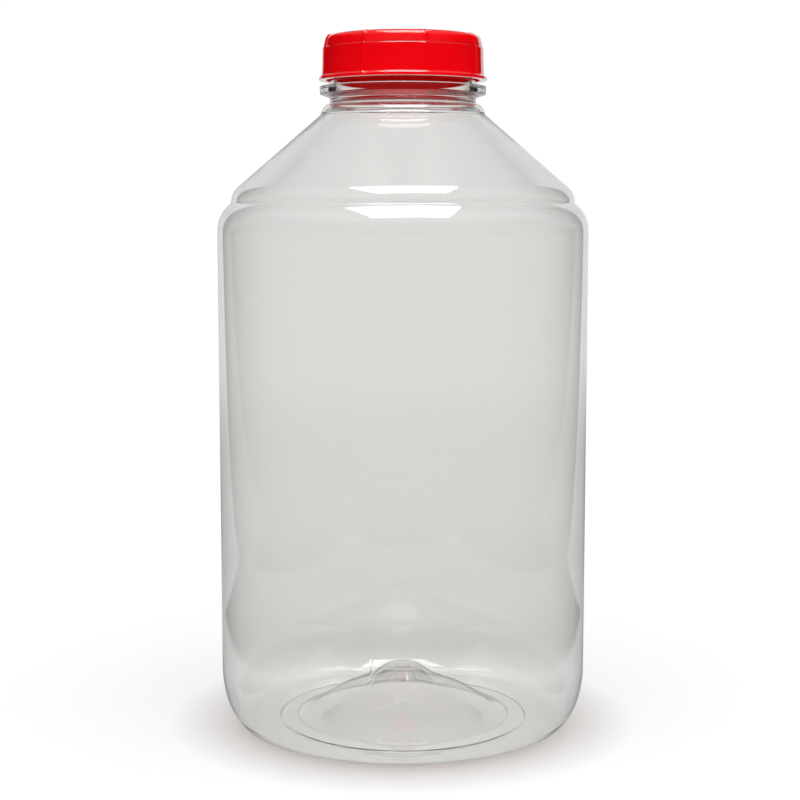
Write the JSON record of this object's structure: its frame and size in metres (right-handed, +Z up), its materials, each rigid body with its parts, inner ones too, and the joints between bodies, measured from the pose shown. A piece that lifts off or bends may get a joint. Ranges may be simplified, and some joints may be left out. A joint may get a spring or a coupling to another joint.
{
  "type": "large water jug",
  "caption": "Large clear plastic water jug with a round body, conical shoulder, wide threaded mouth, ribbed red screw lid and soft seal ring.",
  "frame": {"origin": "centre of the base, on the surface the jug stands on", "axes": "+Z up along the jug's axis, out through the mouth; the jug is round, and +X and +Y are set by the lid's ribs and the thread's start"},
  "size_m": [0.284, 0.284, 0.5305],
  "materials": {
    "clear_plastic": "clear blow-moulded PET, smooth and glossy, very faint warm grey tint",
    "red_plastic": "moulded opaque bright red plastic, semi-gloss",
    "soft_seal": "soft off-white sealing ring, matt"
  },
  "bodies": {
    "bottle": {"bottle": "clear_plastic"},
    "seal": {"lid_gasket": "soft_seal"},
    "lid": {"lid": "red_plastic"}
  },
  "joints": [
    {"name": "lid_lift", "type": "slide", "parent": "bottle", "child": "seal", "axis": [0, 0, 1], "range_m": [0, 0.03255]},
    {"name": "lid_turn", "type": "hinge", "parent": "seal", "child": "lid", "pos_m": [0, 0, 0.513], "axis": [0, 0, 1], "range_deg": [0, 2304]}
  ],
  "couplings": [
    {"joint": "lid_lift", "follows": "lid_turn", "m_per_rad": 0.00080851}
  ]
}
